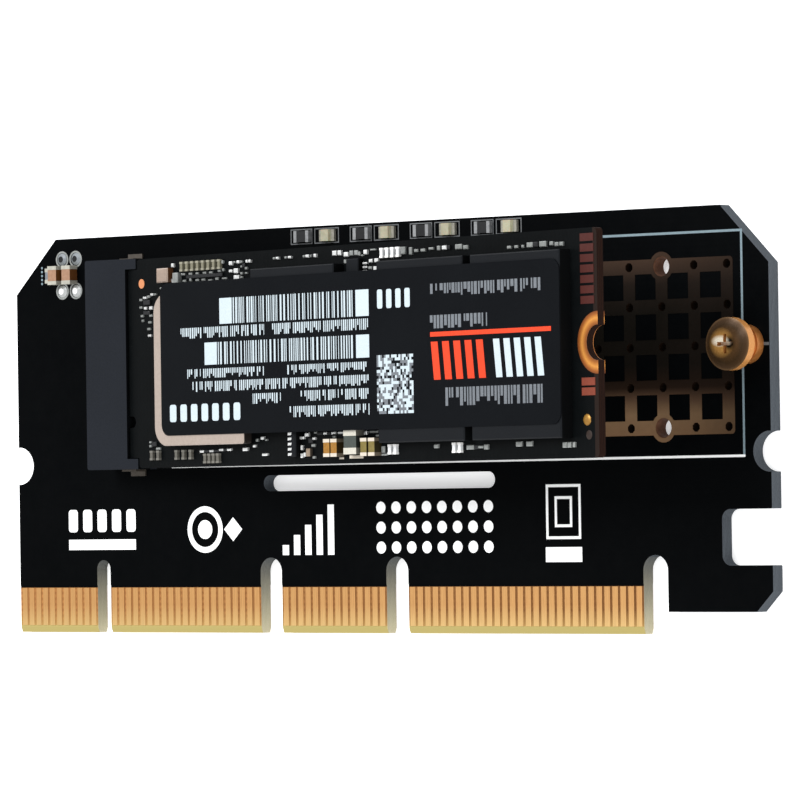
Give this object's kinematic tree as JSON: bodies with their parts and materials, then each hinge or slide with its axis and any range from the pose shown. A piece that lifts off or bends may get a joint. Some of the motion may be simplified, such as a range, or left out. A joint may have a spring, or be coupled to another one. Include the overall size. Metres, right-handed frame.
{
  "type": "solid-state drive adapter card",
  "caption": "Expansion card with an edge tongue, a socket that holds a small solid-state drive tilted up, a brass standoff, a copper cooling mesh and indicator lights.",
  "frame": {"origin": "under the middle of the card, in the plane of its back face", "axes": "+X along the edge contacts towards the standoff, +Y from the contacts to the top edge, +Z out of the component side"},
  "size_m": [0.1, 0.0422, 0.0234],
  "materials": {
    "board_mask": "black solder mask on glass-fibre board, satin",
    "contact_gold": "thin gold plating, bright",
    "bare_copper": "bare copper, tarnished brown",
    "tinned_copper": "tin plated, satin",
    "socket_plastic": "moulded dark slate plastic",
    "standoff_brass": "dark antique brass, polished crown",
    "black_ceramic": "matt black coat",
    "solder": "bright tin solder",
    "light_lens": "clear resin over a pale yellow core",
    "tan_ceramic": "satin brown",
    "grey_ceramic": "satin dark grey",
    "drive_mask": "black solder mask, satin",
    "package_black": "moulded epoxy, fine matt",
    "nickel_cap": "satin nickel",
    "label_foil": "black foil label, satin",
    "crystal_can": "satin plated lid",
    "orange_ceramic": "satin orange brown",
    "olive_ceramic": "satin olive"
  },
  "bodies": {
    "root": {"adapter_board": "board_mask", "front_edge_contacts": "contact_gold", "back_edge_contacts": "contact_gold", "cooling_mesh": "bare_copper", "fixing_hole_rings": "tinned_copper", "socket_housing": "socket_plastic", "socket_upper_springs": "tinned_copper", "socket_lower_springs": "tinned_copper", "socket_hold_down_tabs": "tinned_copper", "standoff": "standoff_brass", "module_screw": "standoff_brass", "light_resistor_bodies": "black_ceramic", "light_resistor_ends": "solder", "indicator_light_lenses": "light_lens", "indicator_light_ends": "solder", "filter_capacitor_bodies": "tan_ceramic", "filter_capacitor_ends": "solder", "filter_bead_body": "grey_ceramic", "filter_bead_ends": "solder", "solder_pads": "solder", "drive_board": "drive_mask", "drive_edge_contacts": "contact_gold", "drive_screw_ring": "contact_gold", "drive_controller": "package_black", "drive_controller_cap": "nickel_cap", "drive_cache_chip": "package_black", "drive_memory_chips": "package_black", "drive_label": "label_foil", "drive_crystal": "crystal_can", "drive_regulator": "package_black", "drive_regulator_pins": "solder", "drive_inductor_body": "grey_ceramic", "drive_inductor_ends": "solder", "drive_input_capacitors": "orange_ceramic", "drive_output_capacitors": "olive_ceramic", "drive_capacitor_ends": "solder", "drive_small_part_bodies": "black_ceramic", "drive_small_part_ends": "solder", "drive_test_pads": "bare_copper"}
  },
  "joints": []
}
